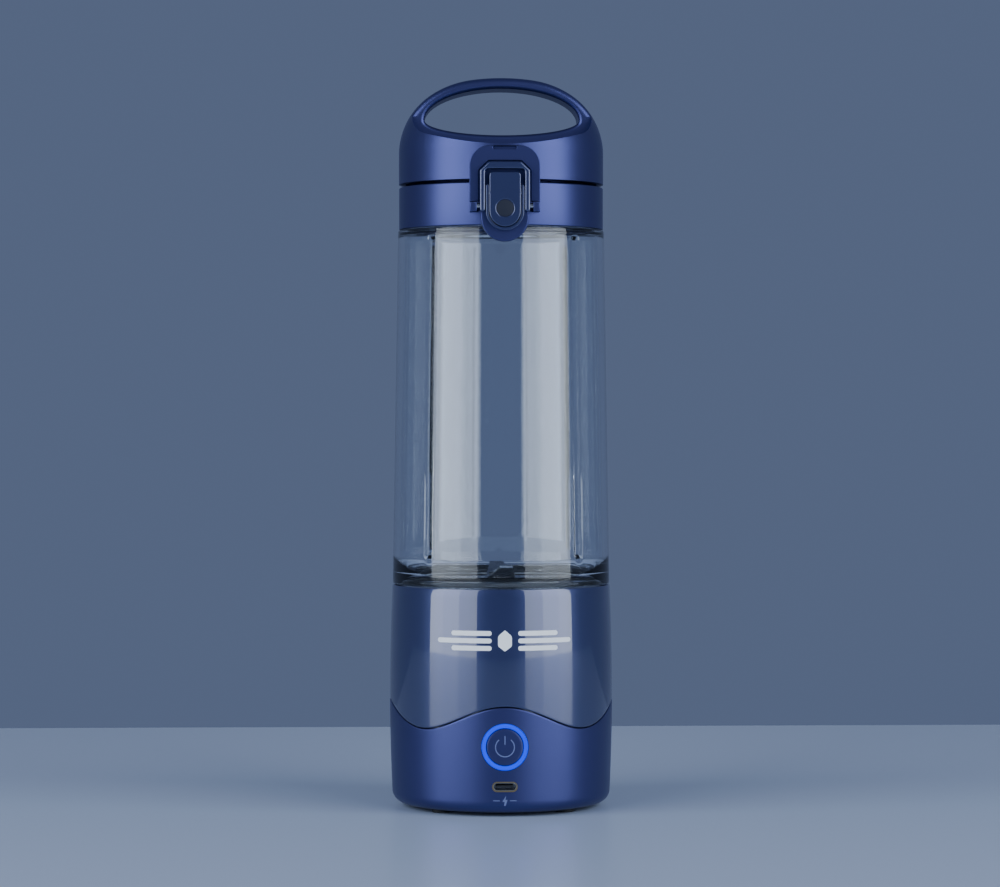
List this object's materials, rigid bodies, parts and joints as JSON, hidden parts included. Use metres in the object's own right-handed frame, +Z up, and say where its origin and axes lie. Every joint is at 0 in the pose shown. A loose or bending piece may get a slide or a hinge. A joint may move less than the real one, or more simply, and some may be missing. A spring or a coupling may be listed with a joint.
{
  "type": "portable blender",
  "caption": "Cordless cup blender: motor base with wavy parting line, clear ribbed cup, screw-on lid collar and flip cap with a carrying handle.",
  "frame": {"origin": "centre of the footprint, on the surface the feet stand on", "axes": "+Z up along the cup's axis, front with button and latch towards -Y, +X to the viewer's right seen from the front"},
  "size_m": [0.086, 0.09, 0.2813],
  "materials": {
    "satin_navy": "satin moulded plastic",
    "gloss_navy": "glossy moulded plastic",
    "clear_cup": "clear tough plastic",
    "light_ring": "lit diffuser",
    "dark_plastic": "black moulded plastic",
    "dark_rubber": "matte rubber",
    "silicone": "translucent silicone",
    "steel": "stainless steel",
    "cell_wrap": "shrink sleeve",
    "board": "coated laminate"
  },
  "bodies": {
    "base": {"lower_housing": "satin_navy", "upper_housing": "gloss_navy", "bottom_cover": "satin_navy", "cover_screws": "steel", "rubber_feet": "dark_rubber", "led_ring": "light_ring", "control_board": "board", "tact_switch": "dark_plastic", "usb_shell": "steel", "usb_tongue": "dark_plastic", "battery_cell_left": "cell_wrap", "battery_cell_right": "cell_wrap", "battery_holder": "dark_plastic", "motor_can": "steel", "motor_end_cap": "dark_plastic", "motor_bracket": "steel", "bracket_screws": "steel", "cup_socket": "dark_plastic", "lower_bearing": "steel", "upper_bearing": "steel", "shaft_seal": "dark_rubber"},
    "rotor": {"motor_shaft": "steel", "drive_coupling": "dark_plastic", "blade_shaft": "steel", "lower_blade": "steel", "blade_spacer": "steel", "upper_blade": "steel", "blade_nut": "steel"},
    "start_button": {"power_button": "satin_navy"},
    "cup_seal": {"base_gasket": "silicone"},
    "cup": {"blending_cup": "clear_cup"},
    "lid_seal": {"lid_gasket": "silicone"},
    "collar": {"lid_collar": "satin_navy", "hinge_pin": "steel", "hinge_spring": "steel", "latch_button_pin": "steel", "latch_spring": "steel", "lock_ring_pins": "steel"},
    "cap": {"flip_cap": "satin_navy", "spout_plug": "silicone"},
    "latch": {"latch_button": "gloss_navy"},
    "lock": {"lock_ring": "gloss_navy"}
  },
  "joints": [
    {"name": "blade_spin", "type": "hinge", "parent": "base", "child": "rotor", "pos_m": [0, 0, 0.07], "axis": [0, 0, 1], "continuous": true},
    {"name": "button_press", "type": "slide", "parent": "base", "child": "start_button", "axis": [0, 1, 0], "range_m": [0, 0.0008], "stiffness_N_per_m": 1500},
    {"name": "cup_lift", "type": "slide", "parent": "base", "child": "cup_seal", "axis": [0, 0, 1], "range_m": [0, 0.00755]},
    {"name": "cup_twist", "type": "hinge", "parent": "cup_seal", "child": "cup", "pos_m": [0, 0, 0.08], "axis": [0, 0, 1], "range_deg": [0, 540]},
    {"name": "lid_lift", "type": "slide", "parent": "cup", "child": "lid_seal", "axis": [0, 0, 1], "range_m": [0, 0.00605]},
    {"name": "lid_twist", "type": "hinge", "parent": "lid_seal", "child": "collar", "pos_m": [0, 0, 0.23], "axis": [0, 0, 1], "range_deg": [0, 540]},
    {"name": "cap_flip", "type": "hinge", "parent": "collar", "child": "cap", "pos_m": [0, 0.0416, 0.23945], "axis": [-1, 0, 0], "range_deg": [0, 105]},
    {"name": "latch_press", "type": "hinge", "parent": "collar", "child": "latch", "pos_m": [0, -0.0434, 0.2345], "axis": [1, 0, 0], "range_deg": [0, 5], "stiffness_Nm_per_rad": 0.3, "deforming": ["latch_spring"]},
    {"name": "lock_swing", "type": "hinge", "parent": "collar", "child": "lock", "pos_m": [0, -0.0424, 0.2296], "axis": [1, 0, 0], "range_deg": [0, 110]}
  ],
  "couplings": [
    {"joint": "cup_lift", "follows": "cup_twist", "m_per_rad": 0.00079577},
    {"joint": "lid_lift", "follows": "lid_twist", "m_per_rad": 0.00063662}
  ]
}
